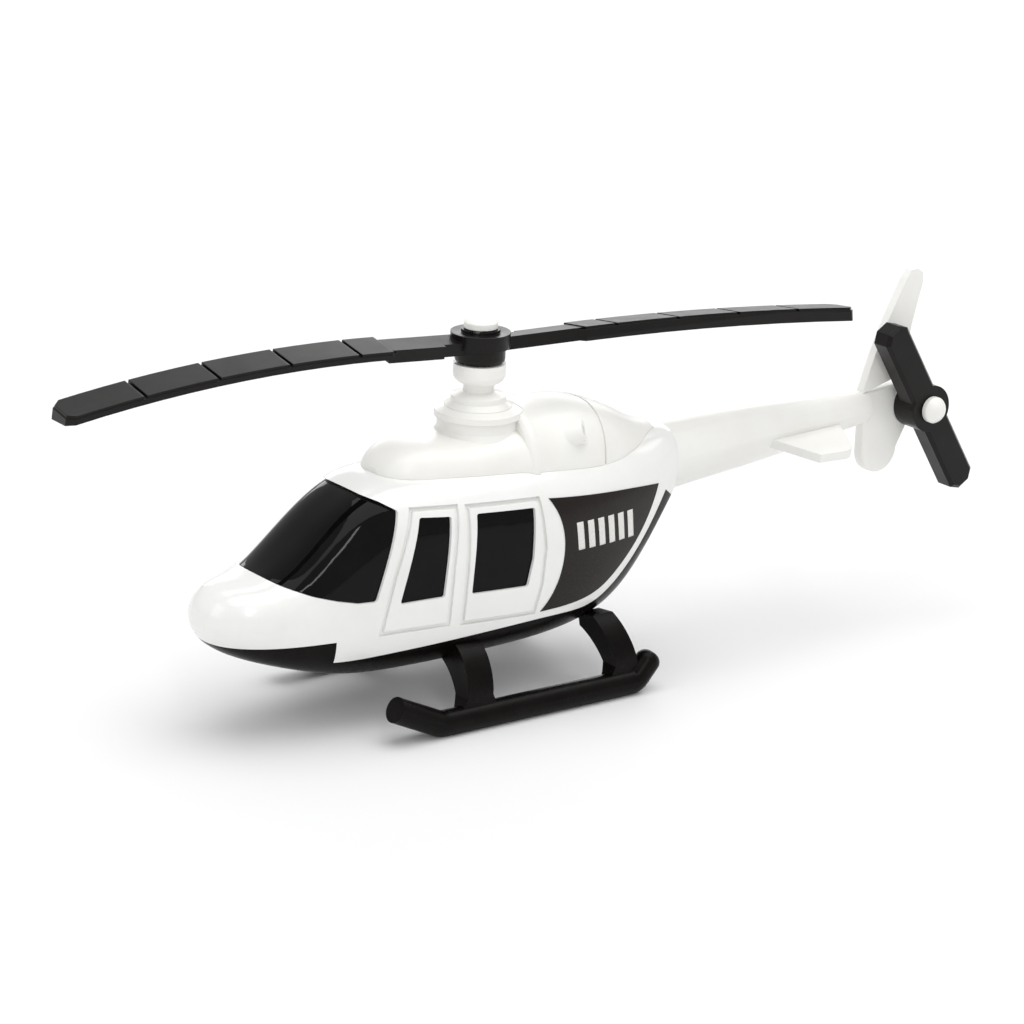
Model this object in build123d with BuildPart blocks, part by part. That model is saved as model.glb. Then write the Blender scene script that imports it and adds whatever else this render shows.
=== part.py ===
"""Pocket die-cast helicopter with free-spinning main and tail rotors.

Frame: +X to the nose, +Y to port, +Z up, floor at Z = 0, rotor axis on X = Y = 0. Millimetres.
"""

import os
from math import cos, pi, sin

from build123d import *

# ---------------------------------------------------------------- fuselage
# Stations from the nose back: x, half width, lowest z, highest z, z of the widest point,
# squareness of the upper half, squareness of the lower half (2 is an ellipse).
HULL_STATIONS = (
    (31.2, 1.3, 11.0, 13.1, 12.0, 2.0, 2.0),
    (30.3, 3.1, 9.6, 14.4, 11.9, 2.1, 2.2),
    (28.2, 4.6, 8.3, 15.3, 11.8, 2.3, 2.5),
    (25.2, 5.7, 7.2, 15.9, 11.8, 2.5, 3.0),
    (21.5, 6.4, 6.1, 18.4, 11.9, 2.8, 3.4),
    (17.5, 6.8, 5.3, 21.6, 12.2, 3.1, 3.8),
    (14.3, 7.0, 5.1, 23.2, 12.8, 3.4, 4.2),
    (10.0, 7.5, 5.15, 23.7, 13.2, 3.6, 4.4),
    (4.0, 8.2, 5.4, 23.8, 13.4, 3.6, 4.4),
    (-2.0, 8.6, 5.7, 23.7, 13.6, 3.5, 4.2),
    (-7.0, 8.3, 6.0, 23.5, 14.2, 3.4, 3.8),
    (-12.0, 7.3, 6.8, 23.3, 15.2, 3.1, 3.2),
    (-17.0, 5.8, 10.0, 23.4, 17.2, 2.8, 2.8),
    (-22.0, 3.9, 15.1, 23.8, 20.4, 2.6, 2.3),
)
SECTION_POINTS = 28
SHELL_WALL = 0.9
PAN_WALL = 1.3
CUT_REACH = 12.0  # half length of a cutter that runs right across the hull

# Seam between the white shell and the black pan, seen from the side.
CHIN_NOSE = (33.0, 10.0)
CHIN_STEP = (20.1, 9.85)
SILL_Z = 7.7
SILL_POINTS = ((11.0, 7.95), (4.0, 8.5), (-4.5, 8.9), (-9.6, 9.2))
SWEEP_POINTS = ((-12.1, 10.4), (-15.1, 12.7), (-17.7, 15.4), (-19.9, 18.2))
PAN_END = (-23.4, 15.8)
BELOW_HULL_Z = 2.0

# ---------------------------------------------------------------- glazing
WINDSCREEN_SILL = ((15.9, 13.2), (17.8, 13.3), (19.9, 13.8), (22.3, 14.5), (24.7, 15.4), (27.2, 16.7))
WINDSCREEN_TOP = ((24.0, 24.6), (16.3, 23.3), (15.5, 22.6), (14.6, 22.25), (13.15, 21.4))
WINDSCREEN = WINDSCREEN_SILL + WINDSCREEN_TOP
WINDSCREEN_CORNER = 0.3
FRONT_WINDOW = ((11.2, 20.65), (7.9, 20.4), (8.7, 12.7), (13.4, 12.6))
REAR_WINDOW = ((5.2, 20.35), (-1.25, 20.1), (-1.0, 15.1), (-0.4, 12.5), (5.8, 12.6))
WINDOW_CORNER = 0.25
GLASS_RECESS = 0.3
GLASS_WALL = 1.9
GLASS_GAP = 0.02
GLASS_FRONT_X = 27.0
GLASS_BACK_X = -2.6
GLASS_LOW_Z = 11.0
GLASS_HIGH_Z = 22.4

# ---------------------------------------------------------------- door grooves
GROOVE_WIDTH = 0.4
GROOVE_DEPTH = 0.25
FRONT_DOOR = ((12.0, 21.6), (7.0, 21.4), (7.6, 15.5), (8.0, 9.7), (15.6, 9.7), (14.2, 15.3))
REAR_DOOR = ((6.3, 21.3), (-2.0, 21.0), (-2.55, 16.0), (-2.2, 12.4), (-1.4, 9.5), (6.9, 9.6), (6.5, 15.0))

# ---------------------------------------------------------------- rivets through the pan
RIVET_XS = (10.5, -6.5)
POST_R = 1.8
POST_GAP = 0.25
RIVET_R = 0.8
RIVET_HEAD_R = 1.7
RIVET_HEAD_H = 0.7
RIVET_TOP_Z = 14.0
POST_TOP_Z = 22.9
RIVET_HEAD_Z = 4.6
RIVET_EDGE = 0.35

# ---------------------------------------------------------------- side stickers
STICKER_THICKNESS = 0.06
STICKER_LEAD = ((-3.0, 20.7), (-4.7, 16.0), (-2.0, 9.65))
STICKER_FOOT = ((-5.8, 9.75), (-9.9, 10.5), (-12.8, 12.2), (-15.3, 14.3), (-17.3, 16.8), (-18.5, 19.2))

# ---------------------------------------------------------------- skids
SKID_Y = 10.26
SKID_R = 1.27
SKID_FLAT = 0.1
SKID_FRONT_X = 10.7
SKID_BACK_X = -12.6
SKID_TIP = (15.9, 3.6)
SKID_HEEL = (-14.8, 3.7)
SKID_BEND = 3.0
HEEL_BEND = 1.3
# strut from the pan's lower edge out to the skid, seen from the front (y, z)
STRUT_OUTER = ((7.6, 7.7), (9.6, 6.0), (10.6, 1.8))
STRUT_INNER = ((9.2, 1.9), (7.8, 4.3), (5.3, 6.0))
STRUT_ROOT = (5.3, 7.4)
FRONT_STRUT = ((7.2, 4.4), (7.8, 4.8))
REAR_STRUT = ((-9.0, -11.5), (-9.9, -12.7))
STRUT_FOOT_Z = 3.2
STRUT_ROOT_Z = 8.2
FOOT_FLARE = 0.9
STRUT_REACH = 16.0
HEEL_EDGE = 1.0

# ---------------------------------------------------------------- upper fairings
# x, half width, highest z, squareness; each section starts at the foot level inside the roof
FAIRING_FOOT_Z = 21.5
FAIRING_STATIONS = (
    (12.3, 1.9, 24.1, 2.4),
    (11.6, 3.1, 25.0, 2.8),
    (10.2, 3.9, 25.8, 3.1),
    (7.0, 4.7, 26.2, 3.3),
    (2.0, 5.5, 26.3, 3.3),
    (-2.6, 6.1, 26.3, 3.3),
)
FRAME_STATIONS = (
    (-2.2, 5.8, 28.0, 2.6),
    (-2.5, 6.1, 28.4, 2.6),
    (-3.2, 6.2, 28.45, 2.6),
)
COWL_STATIONS = (
    (-3.2, 6.05, 28.35, 2.6),
    (-8.0, 5.95, 28.25, 2.6),
    (-11.8, 5.4, 27.8, 2.6),
    (-16.0, 4.1, 26.1, 2.3),
    (-20.4, 2.8, 24.3, 2.1),
)
COWL_SEAM_X = -11.6
COWL_SEAM_WIDTH = 0.25
COWL_SEAM_DEPTH = 0.15
EXHAUST_POS = (-7.8, 4.7, 25.6)
EXHAUST_DIR = (-0.7, 0.65, 0.3)
EXHAUST_R = 1.2
EXHAUST_BORE_R = 0.65
EXHAUST_LENGTH = 1.3
EXHAUST_BORE_DEPTH = 0.9
SEAT_FOOT_R = 4.7
SEAT_TOP_Z = 26.45
SEAT_R = 3.95
SEAT_FOOT_Z = 25.0
LIP_R = 4.25
LIP_Z = 27.5
LIP_TOP_Z = 28.1
DOME_FOOT_Z = 28.5

# ---------------------------------------------------------------- mast and main rotor
SPIGOT_R = 1.8
SPIGOT_Z = 25.2
DOME_FOOT_R = 3.3
DOME_R = 2.68
DOME_Z = 29.0
DOME_TOP_Z = 29.5
NECK_R = 1.5
NECK_Z = 29.9
COLLAR_Z = 30.8
COLLAR_FOOT_R = 1.9
COLLAR_R = 2.55
COLLAR_SIDE_Z = 31.6
COLLAR_TOP_Z = 32.7
BOWL_LEAN = (1, 0.3)
ROTOR_GAP = 0.1
HUB_R = 2.45
HUB_EDGE = 0.4
HUB_STEP_Z = 34.3
RING_R = 2.9
RING_TOP_Z = 35.75
CREST_R = 1.9
CREST_TOP_Z = 36.05
CREST_SLOT = 0.9
CREST_TURN = 40.0
PIN_R = 0.95
RUNNING_CLEARANCE = 0.05
PIN_FOOT_Z = 28.5
PIN_HEAD_R = 1.65
PIN_HEAD_H = 1.45
PIN_HEAD_SIDE = 0.55

ROTOR_PLANE_Z = 34.65
ROTOR_RADIUS = 44.0
ROTOR_HEADING = -3.3
BLADE_PITCH = 7.7
BLADE_CHORD = 4.1
BLADE_PLATE = 0.5
BLADE_DEEP_EDGE = 1.0
BLADE_WEDGE = 9.0
BLADE_DROOP = 1.6
BENT_BLADE_DROOP = 4.1
BENT_BLADE_RISE = 2.7
BLADE_ROOT_X = 10.9
BLADE_START_X = 10.2
ARM_START_X = 1.5
GRIP_START_X = 4.8
GRIP_WIDTH = 2.9
ARM_WIDTH = 2.0
ARM_TOP = 0.42
ARM_BOTTOM = -0.85
PAD_RISE = 0.28
PAD_MARGIN = 0.1
PAD_GAP = 0.36
PAD_LENGTH = 7.36
FIRST_GROOVE_X = 14.46
PAD_COUNT = 4
TIP_CLIP = 0.7

# ---------------------------------------------------------------- tail
BOOM_STATIONS = (
    (-22.0, 3.8, 16.3, 23.75, 20.5, 2.6, 2.0),
    (-28.0, 3.1, 16.8, 23.85, 20.8, 2.8, 1.6),
    (-36.0, 2.4, 17.6, 23.7, 20.9, 2.8, 1.4),
    (-44.0, 1.8, 18.7, 23.4, 21.0, 2.6, 1.4),
    (-50.0, 1.3, 19.6, 23.1, 21.2, 2.4, 1.6),
)
TONGUE_X = -15.0
TONGUE_PLAY = 0.03
SHAFT_X = -55.9
SHAFT_Z = 21.3
FIN_HALF = 0.6
FIN_EDGE = 0.35
FIN_LEAD = ((-49.2, 23.0), (-50.2, 26.0), (-54.4, 34.8))
FIN_TIP = ((-55.0, 35.6), (-55.8, 35.7), (-56.5, 35.2), (-56.6, 34.2))
FIN_TRAIL = ((-55.4, 29.6), (-54.6, 24.5))
LOBE_X = -52.1
LOBE_Z = 16.5
LOBE_R = 2.45
BOSS_R = 2.3
BOSS_OUT = 0.75
BOSS_IN = 1.0
STAB_Z = 20.3
STAB_DROOP = 10.0
STAB_HALF = 0.45
STAB_PLAN = ((-34.6, 0.0), (-38.4, 6.8), (-42.6, 7.0), (-46.2, 0.0))
STAB_CORNER = 1.5

TAIL_HUB_R = 2.5
TAIL_HUB_IN = 0.9
TAIL_FACE = 4.0
TAIL_BLADE_IN = 1.8
TAIL_RADIUS = 10.8
TAIL_CHORD = 3.3
TAIL_CLIP = 0.9
TAIL_BEVEL = 0.35
TAIL_ANGLE = 57.5
TAIL_PIN_R = 0.6
TAIL_PIN_HEAD_R = 1.4
TAIL_PIN_HEAD_H = 1.4
TAIL_PIN_FOOT = -0.8
TAIL_PIN_SIDE = 0.5


def ring(half_width, low, high, wide, square_up, square_down):
    """Points of a rounded-square section, counted from port over the top."""
    points = []
    for i in range(SECTION_POINTS):
        turn = 2 * pi * i / SECTION_POINTS
        across, up = cos(turn), sin(turn)
        square = square_up if up >= 0 else square_down
        reach = high - wide if up >= 0 else wide - low
        size = (abs(across) ** square + abs(up) ** square) ** (1 / square)
        points.append((half_width * across / size, wide + reach * up / size))
    return points


def lofted(stations, inset=0.0):
    """Solid through closed sections, each drawn in by inset."""
    with BuildPart() as solid:
        for x, half_width, low, high, wide, square_up, square_down in stations:
            outline = ring(half_width - inset, low + inset, high - inset, wide, square_up, square_down)
            with BuildSketch(Plane.YZ.offset(x)):
                with BuildLine():
                    Spline(*outline, periodic=True)
                make_face()
        loft()
    return solid.part


def domed(stations):
    """Solid of a fairing that starts at one foot level inside the roof."""
    full = [
        (x, half, 2 * FAIRING_FOOT_Z - high, high, FAIRING_FOOT_Z, square, square)
        for x, half, high, square in stations
    ]
    return lofted(full)


def across_hull(outline, corner=0.0):
    """Prism across the hull from a side-view outline (x, z)."""
    with BuildPart() as prism:
        with BuildSketch(Plane.XZ) as side:
            with BuildLine():
                Polyline(*outline, close=True)
            make_face()
            if corner:
                fillet(side.vertices(), corner)
        extrude(amount=CUT_REACH, both=True)
    return prism.part


def groove_across(outline):
    """Thin frame across the hull that follows a door's side-view outline."""
    with BuildPart() as frame:
        with BuildSketch(Plane.XZ):
            with BuildLine():
                Polyline(*outline, close=True)
            make_face()
            offset(amount=-GROOVE_WIDTH, mode=Mode.SUBTRACT)
        extrude(amount=CUT_REACH, both=True)
    return frame.part


def crown_radius(half, rise):
    """Radius of the sphere that crowns a head of the given half width and rise."""
    return (half**2 + rise**2) / (2 * rise)


def finish(part, name):
    part.label = name
    export_step(part, f"parts/{name}.step")


os.makedirs("parts", exist_ok=True)

# ---------------------------------------------------------------- shared shapes
hull_outer = lofted(HULL_STATIONS)
hull_cavity = lofted(HULL_STATIONS[1:], SHELL_WALL)

with BuildPart() as below_seam:
    with BuildSketch(Plane.XZ):
        with BuildLine():
            chin = Polyline(CHIN_NOSE, CHIN_STEP, (CHIN_STEP[0], SILL_Z))
            sweep_up = Spline(chin @ 1, *SILL_POINTS, *SWEEP_POINTS)
            Polyline(
                sweep_up @ 1,
                PAN_END,
                (PAN_END[0], BELOW_HULL_Z),
                (CHIN_NOSE[0], BELOW_HULL_Z),
                chin @ 0,
            )
        make_face()
    extrude(amount=CUT_REACH, both=True)

with BuildPart() as openings:
    add(across_hull(WINDSCREEN, WINDSCREEN_CORNER))
    add(across_hull(FRONT_WINDOW, WINDOW_CORNER))
    add(across_hull(REAR_WINDOW, WINDOW_CORNER))

# ---------------------------------------------------------------- fuselage shell
with BuildPart() as fuselage_shell:
    add(hull_outer)
    add(hull_cavity, mode=Mode.SUBTRACT)
    add(below_seam.part, mode=Mode.SUBTRACT)
    add(openings.part, mode=Mode.SUBTRACT)
    with Locations(*((x, 0, SILL_Z) for x in RIVET_XS)):
        Cylinder(POST_R, POST_TOP_Z - SILL_Z, align=(Align.CENTER, Align.CENTER, Align.MIN))
    with Locations(*((x, 0, SILL_Z) for x in RIVET_XS)):
        Cylinder(
            RIVET_R,
            RIVET_TOP_Z - SILL_Z,
            align=(Align.CENTER, Align.CENTER, Align.MIN),
            mode=Mode.SUBTRACT,
        )
with BuildPart() as door_grooves:
    add(groove_across(FRONT_DOOR))
    add(groove_across(REAR_DOOR))
    add(lofted(HULL_STATIONS, GROOVE_DEPTH), mode=Mode.SUBTRACT)
with BuildPart() as grooved_shell:
    add(fuselage_shell.part)
    add(door_grooves.part, mode=Mode.SUBTRACT)
finish(grooved_shell.part, "fuselage_shell")

# ---------------------------------------------------------------- glazing insert
glass_reach = (
    (GLASS_FRONT_X, GLASS_LOW_Z),
    (GLASS_BACK_X, GLASS_LOW_Z),
    (GLASS_BACK_X, GLASS_HIGH_Z),
    (GLASS_FRONT_X, GLASS_HIGH_Z),
)
with BuildPart() as window_fill:
    add(lofted(HULL_STATIONS, GLASS_RECESS))
    add(openings.part, mode=Mode.INTERSECT)
with BuildPart() as cabin_glazing:
    add(lofted(HULL_STATIONS[1:], SHELL_WALL + GLASS_GAP))
    add(across_hull(glass_reach), mode=Mode.INTERSECT)
    add(window_fill.part)
    add(lofted(HULL_STATIONS[1:], GLASS_WALL), mode=Mode.SUBTRACT)
    with Locations(*((x, 0, SILL_Z) for x in RIVET_XS)):
        Cylinder(
            POST_R + POST_GAP,
            POST_TOP_Z - SILL_Z,
            align=(Align.CENTER, Align.CENTER, Align.MIN),
            mode=Mode.SUBTRACT,
        )
finish(cabin_glazing.part, "cabin_glazing")

# ---------------------------------------------------------------- belly pan
with BuildPart() as belly_pan:
    add(hull_outer)
    add(below_seam.part, mode=Mode.INTERSECT)
    add(lofted(HULL_STATIONS[1:], PAN_WALL), mode=Mode.SUBTRACT)
    with Locations(*((x, 0, 0) for x in RIVET_XS)):
        Cylinder(RIVET_R, SILL_Z, align=(Align.CENTER, Align.CENTER, Align.MIN), mode=Mode.SUBTRACT)
finish(belly_pan.part, "belly_pan")

# ---------------------------------------------------------------- rivets
with BuildPart() as chassis_rivets:
    with Locations(*((x, 0, RIVET_HEAD_Z) for x in RIVET_XS)):
        Cylinder(RIVET_HEAD_R, RIVET_HEAD_H + PAN_WALL, align=(Align.CENTER, Align.CENTER, Align.MIN))
    fillet(chassis_rivets.faces().group_by(Axis.Z)[0].edges(), RIVET_EDGE)
    add(hull_outer, mode=Mode.SUBTRACT)
    with Locations(*((x, 0, RIVET_HEAD_Z + RIVET_EDGE) for x in RIVET_XS)):
        Cylinder(
            RIVET_R,
            RIVET_TOP_Z - RIVET_HEAD_Z - RIVET_EDGE,
            align=(Align.CENTER, Align.CENTER, Align.MIN),
        )
finish(chassis_rivets.part, "chassis_rivets")

# ---------------------------------------------------------------- side stickers
with BuildPart() as sticker_area:
    with BuildSketch(Plane.XZ):
        with BuildLine():
            lead = ThreePointArc(*STICKER_LEAD)
            foot = Spline(lead @ 1, *STICKER_FOOT)
            Line(foot @ 1, lead @ 0)
        make_face()
    extrude(amount=CUT_REACH, both=True)
with BuildPart() as sticker_band:
    add(lofted(HULL_STATIONS, -STICKER_THICKNESS))
    add(hull_outer, mode=Mode.SUBTRACT)
    add(sticker_area.part, mode=Mode.INTERSECT)
for name, keep in (("port_sticker", Keep.BOTTOM), ("starboard_sticker", Keep.TOP)):
    with BuildPart() as sticker:
        add(sticker_band.part)
        split(bisect_by=Plane.XZ, keep=keep)
    finish(sticker.part, name)

# ---------------------------------------------------------------- skids
axle_z = SKID_R - SKID_FLAT
with BuildPart() as port_skid:
    with BuildLine(Plane.XZ.offset(-SKID_Y)):
        skid_path = FilletPolyline(
            SKID_HEEL,
            (SKID_BACK_X, axle_z),
            (SKID_FRONT_X, axle_z),
            SKID_TIP,
            radius=[HEEL_BEND, SKID_BEND],
        )
    with BuildSketch(Plane(origin=skid_path @ 0, z_dir=skid_path % 0)):
        Circle(SKID_R)
    sweep()
    fillet(port_skid.faces().sort_by(Axis.X)[0].edges(), HEEL_EDGE)
    split(bisect_by=Plane.XY, keep=Keep.TOP)
with BuildPart() as strut_bow:
    with BuildSketch(Plane.YZ):
        with BuildLine():
            outer = ThreePointArc(*STRUT_OUTER)
            inner = ThreePointArc(*STRUT_INNER)
            Line(outer @ 1, inner @ 0)
            Polyline(inner @ 1, STRUT_ROOT, outer @ 0)
        make_face()
    extrude(amount=STRUT_REACH, both=True)
with BuildPart() as strut_sides:
    for root, foot in (FRONT_STRUT, REAR_STRUT):
        front, back = max(foot), min(foot)
        with BuildSketch(Plane.XZ):
            with BuildLine():
                Polyline(
                    (max(root), STRUT_ROOT_Z),
                    (front, STRUT_FOOT_Z),
                    (front + FOOT_FLARE, axle_z),
                    (back - FOOT_FLARE, axle_z),
                    (back, STRUT_FOOT_Z),
                    (min(root), STRUT_ROOT_Z),
                    close=True,
                )
            make_face()
        extrude(amount=CUT_REACH, both=True)
with BuildPart() as struts:
    add(strut_bow.part)
    add(strut_sides.part, mode=Mode.INTERSECT)
    add(hull_outer, mode=Mode.SUBTRACT)
with BuildPart() as port_gear:
    add(port_skid.part)
    add(struts.part)
finish(port_gear.part, "port_skid")
with BuildPart() as starboard_gear:
    add(port_gear.part)
    mirror(about=Plane.XZ, mode=Mode.REPLACE)
finish(starboard_gear.part, "starboard_skid")

# ---------------------------------------------------------------- transmission fairing
with BuildPart() as transmission_fairing:
    add(domed(FAIRING_STATIONS))
    add(domed(FRAME_STATIONS))
    with BuildSketch(Plane.XZ):
        with BuildLine():
            Polyline(
                (0, SEAT_FOOT_Z),
                (SEAT_FOOT_R, SEAT_FOOT_Z),
                (SEAT_R, SEAT_TOP_Z),
                (SEAT_R, LIP_Z),
                (LIP_R, LIP_Z),
                (LIP_R, LIP_TOP_Z),
                (DOME_FOOT_R, DOME_FOOT_Z),
                (0, DOME_FOOT_Z),
                close=True,
            )
        make_face()
    revolve(axis=Axis.Z)
    add(hull_outer, mode=Mode.SUBTRACT)
    with Locations((0, 0, SPIGOT_Z)):
        Cylinder(
            SPIGOT_R,
            DOME_FOOT_Z - SPIGOT_Z,
            align=(Align.CENTER, Align.CENTER, Align.MIN),
            mode=Mode.SUBTRACT,
        )
finish(transmission_fairing.part, "transmission_fairing")

# ---------------------------------------------------------------- engine cowling
seam_stations = [
    (x, half - COWL_SEAM_DEPTH, high - COWL_SEAM_DEPTH, square)
    for x, half, high, square in COWL_STATIONS
]
with BuildPart() as cowl_seam:
    with Locations((COWL_SEAM_X, 0, FAIRING_FOOT_Z)):
        Box(COWL_SEAM_WIDTH, 2 * CUT_REACH, 2 * CUT_REACH)
    add(domed(seam_stations), mode=Mode.SUBTRACT)
with BuildPart() as engine_cowling:
    add(domed(COWL_STATIONS))
    add(cowl_seam.part, mode=Mode.SUBTRACT)
    for side in (1, -1):
        x, y, z = EXHAUST_POS
        aim = (EXHAUST_DIR[0], side * EXHAUST_DIR[1], EXHAUST_DIR[2])
        with Locations(Plane(origin=(x, side * y, z), z_dir=aim)):
            Cylinder(EXHAUST_R, 2 * EXHAUST_LENGTH)
        mouth = Plane(origin=(x, side * y, z), z_dir=aim).offset(EXHAUST_LENGTH)
        with Locations(mouth):
            Cylinder(EXHAUST_BORE_R, 2 * EXHAUST_BORE_DEPTH, mode=Mode.SUBTRACT)
    add(hull_outer, mode=Mode.SUBTRACT)
    add(transmission_fairing.part, mode=Mode.SUBTRACT)
finish(engine_cowling.part, "engine_cowling")

# ---------------------------------------------------------------- mast
with BuildPart() as rotor_mast:
    with BuildSketch(Plane.XZ):
        with BuildLine():
            foot = Polyline(
                (PIN_R, SPIGOT_Z),
                (SPIGOT_R, SPIGOT_Z),
                (SPIGOT_R, DOME_FOOT_Z),
                (DOME_FOOT_R, DOME_FOOT_Z),
                (DOME_R, DOME_Z),
                (DOME_R, DOME_TOP_Z),
                (NECK_R, NECK_Z),
                (NECK_R, COLLAR_Z),
                (COLLAR_FOOT_R, COLLAR_Z),
            )
            bowl = TangentArc(foot @ 1, (COLLAR_R, COLLAR_SIDE_Z), tangent=BOWL_LEAN)
            Polyline(bowl @ 1, (COLLAR_R, COLLAR_TOP_Z), (PIN_R, COLLAR_TOP_Z), foot @ 0)
        make_face()
    revolve(axis=Axis.Z)
    with Locations((0, 0, SPIGOT_Z)):
        Cylinder(PIN_R, PIN_FOOT_Z - SPIGOT_Z, align=(Align.CENTER, Align.CENTER, Align.MIN))
finish(rotor_mast.part, "rotor_mast")

# ---------------------------------------------------------------- main rotor pin
pin_head_z = CREST_TOP_Z + ROTOR_GAP
with BuildPart() as main_rotor_pin:
    with BuildSketch(Plane.XZ):
        with BuildLine():
            shank = Polyline(
                (0, PIN_FOOT_Z),
                (PIN_R, PIN_FOOT_Z),
                (PIN_R, pin_head_z),
                (PIN_HEAD_R, pin_head_z),
                (PIN_HEAD_R, pin_head_z + PIN_HEAD_SIDE),
            )
            dome = RadiusArc(
                shank @ 1,
                (0, pin_head_z + PIN_HEAD_H),
                -crown_radius(PIN_HEAD_R, PIN_HEAD_H - PIN_HEAD_SIDE),
            )
            Line(dome @ 1, shank @ 0)
        make_face()
    revolve(axis=Axis.Z)
finish(main_rotor_pin.part, "main_rotor_pin")


# ---------------------------------------------------------------- main rotor
def drooped(outlines, top, bottom, droop):
    """Plates of the given plan outlines, bent down by droop at the blade tip."""
    middle = (BLADE_START_X + ROTOR_RADIUS) / 2
    with BuildPart() as plates:
        for outline in outlines:
            with BuildSketch(Plane.XY):
                with BuildLine():
                    Polyline(*outline, close=True)
                make_face()
            extrude(amount=2 * BLADE_CHORD, both=True)
    with BuildPart() as bent:
        with BuildSketch(Plane.XZ):
            with BuildLine():
                upper = ThreePointArc(
                    (BLADE_START_X, top),
                    (middle, top - droop / 4),
                    (ROTOR_RADIUS, top - droop),
                )
                lower = ThreePointArc(
                    (BLADE_START_X, bottom),
                    (middle, bottom - droop / 4),
                    (ROTOR_RADIUS, bottom - droop),
                )
                Line(upper @ 1, lower @ 1)
                Polyline(lower @ 0, (0, bottom), (0, top), upper @ 0)
            make_face()
        extrude(amount=BLADE_CHORD, both=True)
        add(plates.part, mode=Mode.INTERSECT)
    return bent.part


half_chord = BLADE_CHORD / 2
half_grip = GRIP_WIDTH / 2
blade_outline = (
    (BLADE_START_X, half_grip),
    (BLADE_ROOT_X, half_chord),
    (ROTOR_RADIUS - TIP_CLIP, half_chord),
    (ROTOR_RADIUS, half_chord - TIP_CLIP),
    (ROTOR_RADIUS, TIP_CLIP - half_chord),
    (ROTOR_RADIUS - TIP_CLIP, -half_chord),
    (BLADE_ROOT_X, -half_chord),
    (BLADE_START_X, -half_grip),
)
grip_outline = (
    (ARM_START_X, ARM_WIDTH / 2),
    (GRIP_START_X, ARM_WIDTH / 2),
    (GRIP_START_X, half_grip),
    (BLADE_ROOT_X, half_grip),
    (BLADE_ROOT_X, -half_grip),
    (ARM_START_X, -half_grip),
)
groove_xs = [FIRST_GROOVE_X + PAD_LENGTH * i for i in range(PAD_COUNT)]
pad_starts = [BLADE_ROOT_X] + [x + PAD_GAP / 2 for x in groove_xs]
pad_ends = [x - PAD_GAP / 2 for x in groove_xs] + [ROTOR_RADIUS - PAD_MARGIN]
pad_half = half_chord - PAD_MARGIN
pad_outlines = [
    ((start, -pad_half), (start, pad_half), (end, pad_half), (end, -pad_half))
    for start, end in zip(pad_starts[:-1], pad_ends[:-1])
]
pad_outlines.append(
    (
        (pad_starts[-1], -pad_half),
        (pad_starts[-1], pad_half),
        (pad_ends[-1] - TIP_CLIP, pad_half),
        (pad_ends[-1], pad_half - TIP_CLIP),
        (pad_ends[-1], TIP_CLIP - pad_half),
        (pad_ends[-1] - TIP_CLIP, -pad_half),
    )
)
plate_half = BLADE_PLATE / 2
wedge_plan = (
    (0, -BLADE_CHORD),
    (ROTOR_RADIUS, -BLADE_CHORD),
    (ROTOR_RADIUS, BLADE_CHORD),
    (0, BLADE_CHORD),
)


def pitched_blade(droop):
    """Blade along +X with its arm, thin at the front edge and deep at the rear edge."""
    with BuildPart() as above_wedge:
        with Locations(Location((0, half_chord, -plate_half), (BLADE_WEDGE, 0, 0))):
            add(drooped([wedge_plan], BLADE_CHORD, 0, droop))
    with BuildPart() as blade:
        add(drooped([blade_outline], plate_half, -BLADE_DEEP_EDGE, droop))
        add(above_wedge.part, mode=Mode.INTERSECT)
        add(drooped(pad_outlines, plate_half + PAD_RISE, 0, droop))
        add(drooped([grip_outline], ARM_TOP, ARM_BOTTOM, droop))
    with BuildPart() as turned:
        add(blade.part, rotation=(-BLADE_PITCH, 0, 0))
    return turned.part


# the nose blade leaves the hub rising and bends down more than the tail blade
with BuildPart() as raised_blade:
    add(pitched_blade(BENT_BLADE_DROOP), rotation=(0, -BENT_BLADE_RISE, 0))

with BuildPart() as main_rotor:
    with Locations((0, 0, COLLAR_TOP_Z + ROTOR_GAP)):
        Cylinder(
            HUB_R,
            HUB_STEP_Z - COLLAR_TOP_Z - ROTOR_GAP,
            align=(Align.CENTER, Align.CENTER, Align.MIN),
        )
    fillet(main_rotor.faces().sort_by(Axis.Z)[0].edges(), HUB_EDGE)
    with Locations((0, 0, HUB_STEP_Z)):
        Cylinder(RING_R, RING_TOP_Z - HUB_STEP_Z, align=(Align.CENTER, Align.CENTER, Align.MIN))
    with Locations((0, 0, HUB_STEP_Z)):
        Cylinder(CREST_R, CREST_TOP_Z - HUB_STEP_Z, align=(Align.CENTER, Align.CENTER, Align.MIN))
    with Locations((0, 0, RING_TOP_Z)):
        with PolarLocations(0, 2, start_angle=ROTOR_HEADING + CREST_TURN):
            Box(
                2 * CREST_R,
                CREST_SLOT,
                CREST_TOP_Z - RING_TOP_Z,
                align=(Align.CENTER, Align.CENTER, Align.MIN),
                mode=Mode.SUBTRACT,
            )
    with Locations((0, 0, ROTOR_PLANE_Z)):
        with PolarLocations(0, 1, start_angle=ROTOR_HEADING):
            add(raised_blade.part)
        with PolarLocations(0, 1, start_angle=ROTOR_HEADING + 180):
            add(pitched_blade(BLADE_DROOP))
    with Locations((0, 0, COLLAR_TOP_Z)):
        Cylinder(
            PIN_R + RUNNING_CLEARANCE,
            CREST_TOP_Z - COLLAR_TOP_Z,
            align=(Align.CENTER, Align.CENTER, Align.MIN),
            mode=Mode.SUBTRACT,
        )
finish(main_rotor.part, "main_rotor")

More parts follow.
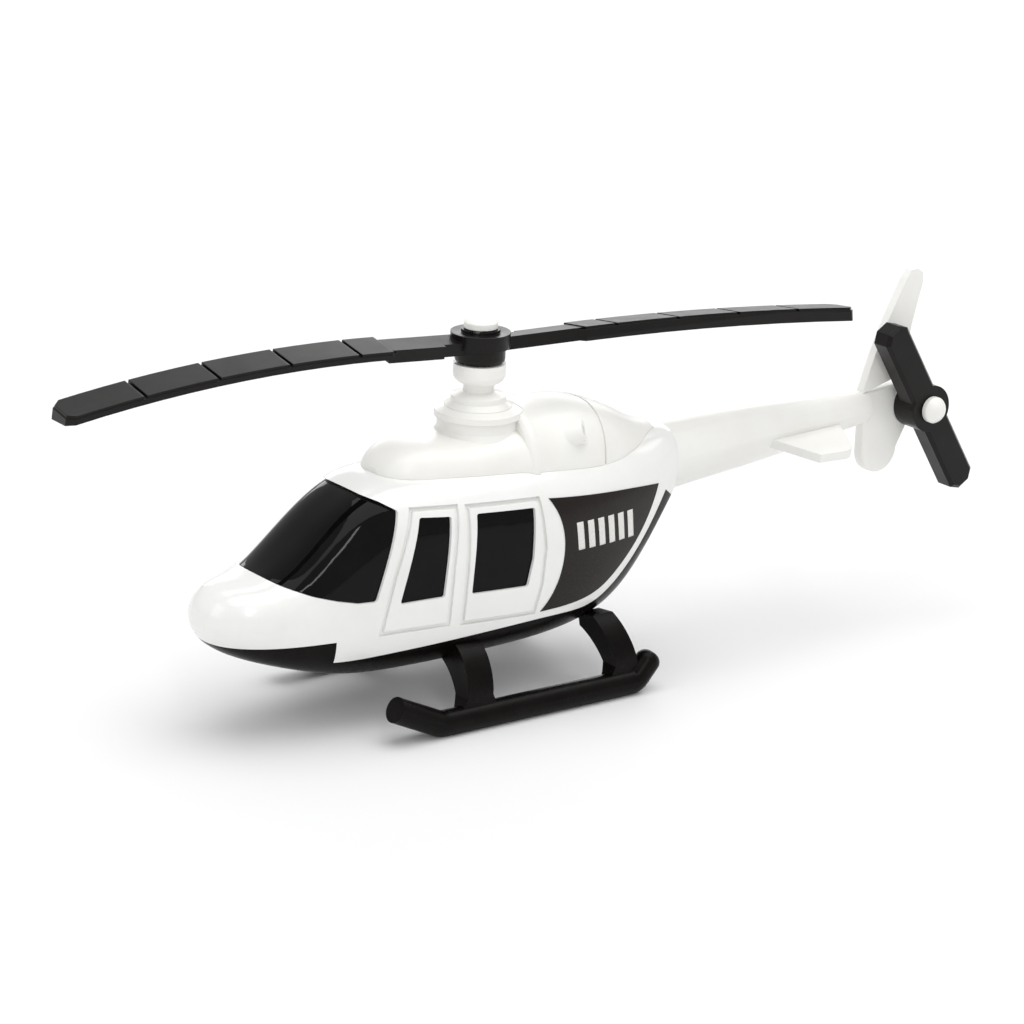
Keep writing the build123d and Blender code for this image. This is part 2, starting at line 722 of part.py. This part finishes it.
# ---------------------------------------------------------------- tail boom with fin and stabilisers
with BuildPart() as fin_plate:
    with BuildSketch(Plane.XZ):
        with BuildLine():
            lead = Spline(*FIN_LEAD)
            Polyline(lead @ 1, *FIN_TIP, *FIN_TRAIL, lead @ 0)
        make_face()
        with Locations((SHAFT_X, SHAFT_Z)):
            Circle(BOSS_R)
        with Locations((LOBE_X, LOBE_Z)):
            Circle(LOBE_R)
        with BuildLine():
            Polyline(
                (LOBE_X + LOBE_R, LOBE_Z),
                (LOBE_X + LOBE_R, FIN_LEAD[0][1]),
                (SHAFT_X, SHAFT_Z + BOSS_R),
                (SHAFT_X, SHAFT_Z - BOSS_R),
                (LOBE_X - LOBE_R, LOBE_Z),
                close=True,
            )
        make_face()
    extrude(amount=FIN_HALF, both=True)
    fillet(fin_plate.faces().sort_by(Axis.Y)[0].edges(), FIN_EDGE)
    fillet(fin_plate.faces().sort_by(Axis.Y)[-1].edges(), FIN_EDGE)
with BuildPart() as port_stabiliser:
    with BuildSketch(Plane.XY.offset(STAB_Z).rotated((-STAB_DROOP, 0, 0))) as stab_plan:
        with BuildLine():
            Polyline(*STAB_PLAN, close=True)
        make_face()
        fillet(stab_plan.vertices().group_by(Axis.Y)[-1], STAB_CORNER)
    extrude(amount=STAB_HALF, both=True)
with BuildPart() as tongue:
    add(lofted(HULL_STATIONS[1:], PAN_WALL + TONGUE_PLAY))
    split(bisect_by=Plane.YZ.offset(TONGUE_X), keep=Keep.BOTTOM)
with BuildPart() as tail_boom:
    add(lofted(BOOM_STATIONS))
    add(tongue.part)
    add(fin_plate.part)
    add(port_stabiliser.part)
    mirror(port_stabiliser.part, about=Plane.XZ)
    with BuildSketch(Plane.XZ.offset(-BOSS_OUT)):
        with Locations((SHAFT_X, SHAFT_Z)):
            Circle(BOSS_R)
    extrude(amount=BOSS_OUT + BOSS_IN)
    with BuildSketch(Plane.XZ.offset(-BOSS_OUT)):
        with Locations((SHAFT_X, SHAFT_Z)):
            Circle(TAIL_PIN_R)
    extrude(amount=BOSS_OUT - TAIL_PIN_FOOT, mode=Mode.SUBTRACT)
finish(tail_boom.part, "tail_boom")

# ---------------------------------------------------------------- tail rotor
with BuildPart() as tail_rotor:
    with BuildSketch(Plane.XZ.offset(-TAIL_BLADE_IN)) as tail_blades:
        with Locations(Location((SHAFT_X, SHAFT_Z), TAIL_ANGLE)):
            Rectangle(2 * TAIL_RADIUS, TAIL_CHORD)
        chamfer(tail_blades.vertices(), TAIL_CLIP)
    extrude(amount=TAIL_BLADE_IN - TAIL_FACE)
    chamfer(tail_rotor.faces().sort_by(Axis.Y)[-1].edges(), TAIL_BEVEL)
    with BuildSketch(Plane.XZ.offset(-TAIL_HUB_IN)):
        with Locations((SHAFT_X, SHAFT_Z)):
            Circle(TAIL_HUB_R)
    extrude(amount=TAIL_HUB_IN - TAIL_FACE)
    with BuildSketch(Plane.XZ.offset(-TAIL_HUB_IN)):
        with Locations((SHAFT_X, SHAFT_Z)):
            Circle(TAIL_PIN_R + RUNNING_CLEARANCE)
    extrude(amount=TAIL_HUB_IN - TAIL_FACE, mode=Mode.SUBTRACT)
finish(tail_rotor.part, "tail_rotor")

# ---------------------------------------------------------------- tail rotor pin
tail_head_y = TAIL_FACE + ROTOR_GAP
tail_axis = Axis((SHAFT_X, 0, SHAFT_Z), (0, 1, 0))
with BuildPart() as tail_rotor_pin:
    with BuildSketch(Plane(origin=(SHAFT_X, 0, SHAFT_Z), x_dir=(1, 0, 0), z_dir=(0, 0, -1))):
        with BuildLine():
            shank = Polyline(
                (0, -TAIL_PIN_FOOT),
                (TAIL_PIN_R, -TAIL_PIN_FOOT),
                (TAIL_PIN_R, -tail_head_y),
                (TAIL_PIN_HEAD_R, -tail_head_y),
                (TAIL_PIN_HEAD_R, -tail_head_y - TAIL_PIN_SIDE),
            )
            dome = RadiusArc(
                shank @ 1,
                (0, -tail_head_y - TAIL_PIN_HEAD_H),
                crown_radius(TAIL_PIN_HEAD_R, TAIL_PIN_HEAD_H - TAIL_PIN_SIDE),
            )
            Line(dome @ 1, shank @ 0)
        make_face()
    revolve(axis=tail_axis)
finish(tail_rotor_pin.part, "tail_rotor_pin")
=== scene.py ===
"""Looks of a pocket die-cast helicopter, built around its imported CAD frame.

Lengths of the model are in millimetres and become metres when a piece is made.
Lights and floor are placed in metres, the unit of the scene.
Frame: +X to the nose, +Y to port, +Z up, floor at Z = 0, rotor axis on X = Y = 0.
"""

from math import cos, radians, sin

import bmesh
import bpy
import numpy as np
from mathutils import Matrix, Vector


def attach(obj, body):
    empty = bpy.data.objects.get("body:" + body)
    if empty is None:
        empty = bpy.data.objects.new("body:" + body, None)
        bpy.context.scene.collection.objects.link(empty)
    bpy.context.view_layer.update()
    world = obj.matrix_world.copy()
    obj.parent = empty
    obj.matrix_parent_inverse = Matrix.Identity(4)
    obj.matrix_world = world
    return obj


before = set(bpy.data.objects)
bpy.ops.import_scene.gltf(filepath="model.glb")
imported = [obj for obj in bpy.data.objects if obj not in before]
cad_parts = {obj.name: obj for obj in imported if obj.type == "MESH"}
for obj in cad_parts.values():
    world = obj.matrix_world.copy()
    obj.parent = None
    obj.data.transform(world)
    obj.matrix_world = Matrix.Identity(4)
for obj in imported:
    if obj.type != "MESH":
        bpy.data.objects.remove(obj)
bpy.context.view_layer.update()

MM = 0.001
AIRFRAME = "airframe"
DOUBLE_DISTANCE = 1e-4  # mm

# ---------------------------------------------------------------- hull shape
# x, half width, lowest z, highest z, z of the widest point, squareness up, squareness down
HULL_STATIONS = (
    (31.35, 0.0, 12.1, 12.1, 12.1, 2.0, 2.0),
    (31.2, 1.3, 11.0, 13.1, 12.0, 2.0, 2.0),
    (30.3, 3.1, 9.6, 14.4, 11.9, 2.1, 2.2),
    (28.2, 4.6, 8.3, 15.3, 11.8, 2.3, 2.5),
    (25.2, 5.7, 7.2, 15.9, 11.8, 2.5, 3.0),
    (21.5, 6.4, 6.1, 18.4, 11.9, 2.8, 3.4),
    (17.5, 6.8, 5.3, 21.6, 12.2, 3.1, 3.8),
    (14.3, 7.0, 5.1, 23.2, 12.8, 3.4, 4.2),
    (10.0, 7.5, 5.15, 23.7, 13.2, 3.6, 4.4),
    (4.0, 8.2, 5.4, 23.8, 13.4, 3.6, 4.4),
    (-2.0, 8.6, 5.7, 23.7, 13.6, 3.5, 4.2),
    (-7.0, 8.3, 6.0, 23.5, 14.2, 3.4, 3.8),
    (-12.0, 7.3, 6.8, 23.3, 15.2, 3.1, 3.2),
    (-17.0, 5.8, 10.0, 23.4, 17.2, 2.8, 2.8),
    (-22.0, 3.9, 15.1, 23.8, 20.4, 2.6, 2.3),
)


# ---------------------------------------------------------------- mesh helpers
def cubic(knots, values, at):
    """Natural cubic spline through values at knots, read at the given places."""
    knots, values, at = np.asarray(knots, float), np.asarray(values, float), np.asarray(at, float)
    count = len(knots)
    step = np.diff(knots)
    system = np.eye(count)
    right = np.zeros(count)
    for i in range(1, count - 1):
        system[i, i - 1 : i + 2] = step[i - 1], 2 * (step[i - 1] + step[i]), step[i]
        right[i] = 6 * ((values[i + 1] - values[i]) / step[i] - (values[i] - values[i - 1]) / step[i - 1])
    bend = np.linalg.solve(system, right)
    i = np.clip(np.searchsorted(knots, at) - 1, 0, count - 2)
    low, high, width = knots[i], knots[i + 1], step[i]
    near, far = (high - at) / width, (at - low) / width
    return (
        near * values[i]
        + far * values[i + 1]
        + ((near**3 - near) * bend[i] + (far**3 - far) * bend[i + 1]) * width**2 / 6
    )


def tube_mesh(name, points):
    """Closed mesh over points[row][column] in millimetres; rows wrap around and both ends are capped."""
    rows, columns = points.shape[:2]
    vertices = points.reshape(-1, 3)
    faces = []
    for i in range(rows):
        j = (i + 1) % rows
        for k in range(columns - 1):
            faces.append((i * columns + k, i * columns + k + 1, j * columns + k + 1, j * columns + k))
    faces.append([i * columns for i in range(rows)])
    faces.append([i * columns + columns - 1 for i in reversed(range(rows))])
    mesh = bpy.data.meshes.new(name)
    mesh.from_pydata([tuple(v) for v in vertices], [], faces)
    mesh.validate()
    mesh.update()
    return mesh


def cleaned(mesh):
    """Joins doubled vertices and turns the faces outwards."""
    work = bmesh.new()
    work.from_mesh(mesh)
    bmesh.ops.remove_doubles(work, verts=work.verts, dist=DOUBLE_DISTANCE)
    bmesh.ops.dissolve_degenerate(work, dist=DOUBLE_DISTANCE, edges=work.edges)
    bmesh.ops.recalc_face_normals(work, faces=work.faces)
    work.to_mesh(mesh)
    work.free()
    return mesh


def joined(name, meshes):
    """One mesh that holds all the given ones."""
    work = bmesh.new()
    for mesh in meshes:
        work.from_mesh(mesh)
    whole = bpy.data.meshes.new(name)
    work.to_mesh(whole)
    work.free()
    return whole


def piece(name, mesh, material, body):
    """Places a mesh made in millimetres as a piece that rides on a body."""
    mesh.transform(Matrix.Scale(MM, 4))
    for polygon in mesh.polygons:
        polygon.use_smooth = True
    mesh.name = name
    obj = bpy.data.objects.new(name, mesh)
    bpy.context.scene.collection.objects.link(obj)
    mesh.materials.clear()
    mesh.materials.append(material)
    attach(obj, body)


# ---------------------------------------------------------------- materials
EDGE_SAMPLES = 8
ROUGH_SPREAD = 0.04
NOISE_MIDDLE = (0.3, 0.7)  # most of the noise lies between these


class Look:
    """A Principled material and short calls that add nodes to it.

    Sizes, depths and edge radii are in millimetres. Colours are linear red, green and blue.
    """

    def __init__(self, name, color, roughness, edge=0.12, **sockets):
        self.material = bpy.data.materials.new(name)
        self.material.use_nodes = True
        self.nodes = self.material.node_tree.nodes
        self.links = self.material.node_tree.links
        self.shader = self.nodes["Principled BSDF"]
        self.shader.inputs["Base Color"].default_value = (*color, 1)
        self.shader.inputs["Roughness"].default_value = roughness
        for socket, value in sockets.items():
            self.shader.inputs[socket.replace("_", " ")].default_value = value
        self.place = self.nodes.new("ShaderNodeTexCoord").outputs["Object"]
        self.round = self.nodes.new("ShaderNodeBevel")
        self.round.samples = EDGE_SAMPLES
        self.round.inputs["Radius"].default_value = edge * MM
        self.links.new(self.round.outputs["Normal"], self.shader.inputs["Normal"])

    def noise(self, size, detail=3.0):
        """Noise whose features are about size millimetres across."""
        node = self.nodes.new("ShaderNodeTexNoise")
        node.inputs["Scale"].default_value = 1 / (size * MM)
        node.inputs["Detail"].default_value = detail
        self.links.new(self.place, node.inputs["Vector"])
        return node.outputs["Fac"]

    def ramp(self, value, low, high, start, end):
        """Maps value between low and high onto start to end."""
        node = self.nodes.new("ShaderNodeMapRange")
        node.inputs["From Min"].default_value = low
        node.inputs["From Max"].default_value = high
        node.inputs["To Min"].default_value = start
        node.inputs["To Max"].default_value = end
        self.links.new(value, node.inputs["Value"])
        return node.outputs["Result"]

    def mix(self, factor, first, second):
        """Colour between first and second."""
        node = self.nodes.new("ShaderNodeMix")
        node.data_type = "RGBA"
        colors = [s for s in node.inputs if s.type == "RGBA"]
        for socket, value in zip(colors, (first, second)):
            socket.default_value = (*value, 1)
        self.links.new(factor, node.inputs[0])
        return [s for s in node.outputs if s.type == "RGBA"][0]

    def cloudy_color(self, size, low, high, first, second, detail=3.0):
        """Clouds of the second colour in the first, with noise from low to high as the blend."""
        clouds = self.ramp(self.noise(size, detail), low, high, 0, 1)
        self.links.new(self.mix(clouds, first, second), self.shader.inputs["Base Color"])

    def cloudy_roughness(self, size, smooth, rough, detail=1.0):
        """Roughness that wanders between smooth and rough."""
        low, high = NOISE_MIDDLE
        output = self.ramp(self.noise(size, detail), low, high, smooth, rough)
        self.links.new(output, self.shader.inputs["Roughness"])

    def bump(self, size, depth, detail=1.0):
        """Uneven surface with features of the given size and depth."""
        height = self.noise(size, detail)
        node = self.nodes.new("ShaderNodeBump")
        node.inputs["Strength"].default_value = 1.0
        node.inputs["Distance"].default_value = depth * MM
        self.links.new(height, node.inputs["Height"])
        self.links.new(self.round.outputs["Normal"], node.inputs["Normal"])
        self.links.new(node.outputs["Normal"], self.shader.inputs["Normal"])


def white_enamel():
    shine = {"Coat_Weight": 0.3, "Coat_Roughness": 0.08}
    look = Look("white_enamel", (0.85, 0.85, 0.835), 0.16, edge=0.08, **shine)
    look.cloudy_color(6.0, 0.35, 0.7, (0.87, 0.87, 0.855), (0.83, 0.83, 0.81))
    look.cloudy_roughness(3.0, 0.13, 0.22)
    look.bump(2.6, 0.006)
    return look.material


def white_plastic():
    look = Look("white_plastic", (0.88, 0.875, 0.845), 0.3, edge=0.08)
    look.cloudy_color(5.0, 0.35, 0.7, (0.89, 0.885, 0.855), (0.86, 0.85, 0.81))
    look.cloudy_roughness(3.0, 0.28, 0.36)
    look.bump(1.6, 0.004)
    return look.material


def black_gloss():
    look = Look("black_gloss", (0.003, 0.003, 0.003), 0.04, edge=0.06, Specular_IOR_Level=0.13)
    look.cloudy_color(3.0, 0.4, 0.7, (0.0025, 0.0025, 0.0028), (0.0045, 0.004, 0.004))
    look.cloudy_roughness(3.5, 0.03, 0.06)
    look.bump(4.0, 0.004)
    return look.material


def black_plastic(name, dark, light, rough, shine):
    look = Look(name, dark, rough, edge=0.08, Specular_IOR_Level=shine)
    look.cloudy_color(2.2, 0.4, 0.75, dark, light)
    look.cloudy_roughness(2.5, rough - ROUGH_SPREAD, rough + ROUGH_SPREAD)
    look.bump(0.22, 0.005, detail=3.0)
    return look.material


def sticker_film():
    look = Look("sticker_film", (0.012, 0.009, 0.008), 0.18, edge=0.02, Specular_IOR_Level=0.2)
    look.cloudy_color(0.12, 0.35, 0.65, (0.010, 0.0075, 0.0065), (0.016, 0.012, 0.0105), detail=2.0)
    look.cloudy_roughness(3.0, 0.18, 0.25)
    look.bump(1.5, 0.004)
    return look.material


def sticker_white():
    look = Look("sticker_white", (0.78, 0.77, 0.74), 0.25, edge=0.02)
    look.cloudy_color(0.15, 0.35, 0.65, (0.80, 0.79, 0.76), (0.70, 0.69, 0.66), detail=2.0)
    look.bump(1.5, 0.004)
    return look.material


def rivet_metal():
    look = Look("rivet_metal", (0.62, 0.62, 0.63), 0.32, Metallic=1.0)
    look.cloudy_roughness(0.4, 0.22, 0.45, detail=3.0)
    look.bump(0.35, 0.02, detail=3.0)
    return look.material


def floor_paper():
    look = Look("floor_paper", (0.80, 0.80, 0.803), 0.8, edge=0.02)
    look.bump(1.2, 0.004, detail=4.0)
    return look.material


ENAMEL = white_enamel()
PLASTIC = white_plastic()
GLASS = black_gloss()
SKID_BLACK = black_plastic("skid_black", (0.0032, 0.0024, 0.0021), (0.0058, 0.0045, 0.0038), 0.28, 0.1)
ROTOR_BLACK = black_plastic("rotor_black", (0.0038, 0.003, 0.0026), (0.0065, 0.005, 0.0043), 0.32, 0.22)
FILM = sticker_film()
FILM_WHITE = sticker_white()
RIVET = rivet_metal()


# ---------------------------------------------------------------- hull surface
PATH_STEPS = 2000
stations = np.array(HULL_STATIONS)
station_path = np.concatenate(([0], np.cumsum(np.hypot(np.diff(stations[:, 0]), np.diff(stations[:, 1])))))
fine_path = np.linspace(0, station_path[-1], PATH_STEPS)
fine_x = cubic(station_path, stations[:, 0], fine_path)


def hull_values(x):
    """Half width, low, high, wide and the two squarenesses at stations x."""
    path = np.interp(-np.asarray(x), -fine_x, fine_path)
    return [cubic(station_path, column, path) for column in stations.T[1:]]


def hull_width_at(x, z):
    """Half width of the hull at places x and heights z."""
    half, low, high, wide, up_square, down_square = hull_values(x)
    rise = z - wide
    square = np.where(rise >= 0, up_square, down_square)
    reach = np.where(rise >= 0, high - wide, wide - low)
    return half * np.clip(1 - np.abs(rise / reach) ** square, 0, 1) ** (1 / square)


# ---------------------------------------------------------------- carried-over CAD nodes
CAD_LOOKS = {
    "fuselage_shell": ENAMEL,
    "belly_pan": SKID_BLACK,
    "cabin_glazing": GLASS,
    "chassis_rivets": RIVET,
    "port_skid": SKID_BLACK,
    "starboard_skid": SKID_BLACK,
    "port_sticker": FILM,
    "starboard_sticker": FILM,
    "transmission_fairing": PLASTIC,
    "engine_cowling": PLASTIC,
    "rotor_mast": PLASTIC,
    "tail_boom": PLASTIC,
    "main_rotor": ROTOR_BLACK,
    "tail_rotor": ROTOR_BLACK,
    "main_rotor_pin": PLASTIC,
    "tail_rotor_pin": PLASTIC,
}
for node, look in CAD_LOOKS.items():
    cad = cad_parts[node]
    cad.data.materials.clear()
    cad.data.materials.append(look)

# ---------------------------------------------------------------- printed bars on the stickers
BAR_COUNT = 6
BAR_LEAD_X = -6.1
BAR_PITCH = 1.45
BAR_WIDTH = 0.85
BAR_HIGH_Z = 17.9
BAR_LOW_Z = 15.1
BAR_DROP = 0.06  # each bar is printed a little lower towards the tail
BAR_SLANT = 0.35
BAR_LIFT = 0.07
BAR_THICKNESS = 0.02
BAR_STEPS = 8
for side, body_side in ((1, "port"), (-1, "starboard")):
    bars = []
    for i in range(BAR_COUNT):
        lead = BAR_LEAD_X - i * BAR_PITCH
        high, low = BAR_HIGH_Z - i * BAR_DROP, BAR_LOW_Z - i * BAR_DROP
        share_x, share_z = np.meshgrid(np.linspace(0, 1, BAR_STEPS), np.linspace(0, 1, 2 * BAR_STEPS))
        x = lead - BAR_WIDTH * share_x - BAR_SLANT * share_z
        z = high * (1 - share_z) + low * share_z
        faces = []
        for lift in (BAR_LIFT, BAR_LIFT + BAR_THICKNESS):
            y = side * (hull_width_at(x, z) + lift)
            faces.append(np.stack((x, y, z), axis=-1))
        loop = np.concatenate((faces[0], faces[1][::-1]))
        bars.append(tube_mesh("bar", loop))
    printed = cleaned(joined(f"{body_side}_sticker_bars", bars))
    piece(f"{body_side}_sticker_bars", printed, FILM_WHITE, AIRFRAME)

# ---------------------------------------------------------------- floor, light and camera
FLOOR_SIZE = 3.0
floor_mesh = bpy.data.meshes.new("floor")
floor_corners = [(x * FLOOR_SIZE, y * FLOOR_SIZE, 0) for x, y in ((-1, -1), (1, -1), (1, 1), (-1, 1))]
floor_mesh.from_pydata(floor_corners, [], [(0, 1, 2, 3)])
floor_mesh.materials.append(floor_paper())
floor = bpy.data.objects.new("floor", floor_mesh)
bpy.context.scene.collection.objects.link(floor)


def softbox(name, place, aim, width, height, watts):
    """Rectangular area light at place, turned towards aim; places and sizes are in metres."""
    light = bpy.data.lights.new(name, "AREA")
    light.shape = "RECTANGLE"
    light.size = width
    light.size_y = height
    light.energy = watts
    obj = bpy.data.objects.new(name, light)
    obj.location = place
    obj.rotation_euler = (Vector(aim) - Vector(place)).to_track_quat("-Z", "Y").to_euler()
    bpy.context.scene.collection.objects.link(obj)


SUBJECT = (0, 0, 0.02)
softbox("overhead", place=(-0.10, 0.05, 0.75), aim=(0, 0, 0), width=0.9, height=0.9, watts=4.7)
softbox("nose_side", place=(0.75, -0.05, 0.45), aim=SUBJECT, width=0.4, height=0.5, watts=0.9)
softbox("backdrop", place=(-0.55, -0.75, 0.30), aim=SUBJECT, width=0.9, height=0.3, watts=2.2)
softbox("port_strip", place=(0.30, 0.62, 0.55), aim=SUBJECT, width=0.05, height=0.5, watts=0.9)

WORLD_STRENGTH = 0.58
world = bpy.data.worlds.new("studio")
world.use_nodes = True
background = world.node_tree.nodes["Background"]
background.inputs["Color"].default_value = (1.0, 1.0, 1.0, 1)
background.inputs["Strength"].default_value = WORLD_STRENGTH
bpy.context.scene.world = world
bpy.context.scene.view_settings.view_transform = "Standard"

VIEW_TARGET = (-4.56, 0.0, 16.93)
VIEW_AZIMUTH = 143.07
VIEW_ELEVATION = 17.49
VIEW_ROLL = 2.22
VIEW_DISTANCE = 347.98
VIEW_LENS = 125.28
SENSOR = 36.0

azimuth, elevation = radians(VIEW_AZIMUTH), radians(VIEW_ELEVATION)
back = Vector((sin(azimuth) * cos(elevation), -cos(azimuth) * cos(elevation), sin(elevation)))
camera = bpy.data.objects.new("camera", bpy.data.cameras.new("camera"))
camera.data.sensor_width = SENSOR
camera.data.lens = VIEW_LENS
camera.data.clip_start = 0.01
camera.rotation_mode = "QUATERNION"
roll = Matrix.Rotation(radians(VIEW_ROLL), 3, "Z").to_quaternion()
camera.rotation_quaternion = back.to_track_quat("Z", "Y") @ roll
camera.location = (Vector(VIEW_TARGET) + back * VIEW_DISTANCE) * MM
bpy.context.scene.collection.objects.link(camera)
bpy.context.scene.camera = camera
